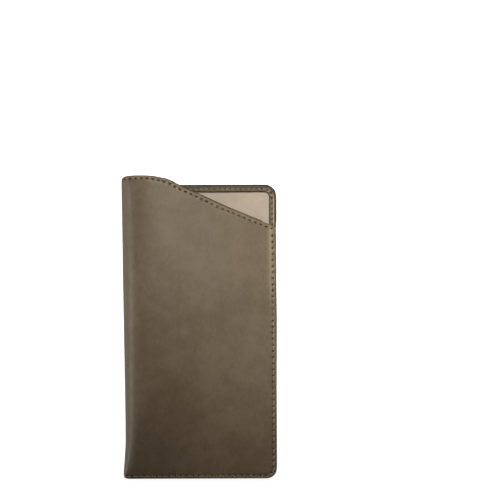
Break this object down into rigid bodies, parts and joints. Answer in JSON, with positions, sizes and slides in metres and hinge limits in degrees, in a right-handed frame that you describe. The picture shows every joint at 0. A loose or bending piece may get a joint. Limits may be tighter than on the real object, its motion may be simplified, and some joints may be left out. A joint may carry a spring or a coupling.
{
  "type": "multi glasses organizer",
  "caption": "Slip-in leather glasses case with a round fold at the left, sewn right side and bottom, napped lining and a slanting open mouth",
  "frame": {"origin": "centre of the flat back panel's outline box, on the plane that the case lies on", "axes": "+X towards the sewn side, +Y towards the open mouth, +Z out of the front panel"},
  "size_m": [0.0856, 0.1676, 0.0148],
  "materials": {
    "outer_leather": "satin, fine grain",
    "facing_leather": "dull, fine grain",
    "lining": "matte, short nap",
    "stiffener": "matte fibreboard",
    "thread": "waxed thread"
  },
  "bodies": {
    "root": {"outer_leather": "outer_leather", "pocket_lining": "lining", "front_stiffener": "stiffener", "back_stiffener": "stiffener", "rim_facing": "facing_leather", "mouth_facing": "facing_leather", "side_seam_needle_thread": "thread", "side_seam_bobbin_thread": "thread", "mouth_seam_needle_thread": "thread", "mouth_seam_bobbin_thread": "thread", "rim_seam_needle_thread": "thread", "rim_seam_bobbin_thread": "thread"}
  },
  "joints": []
}
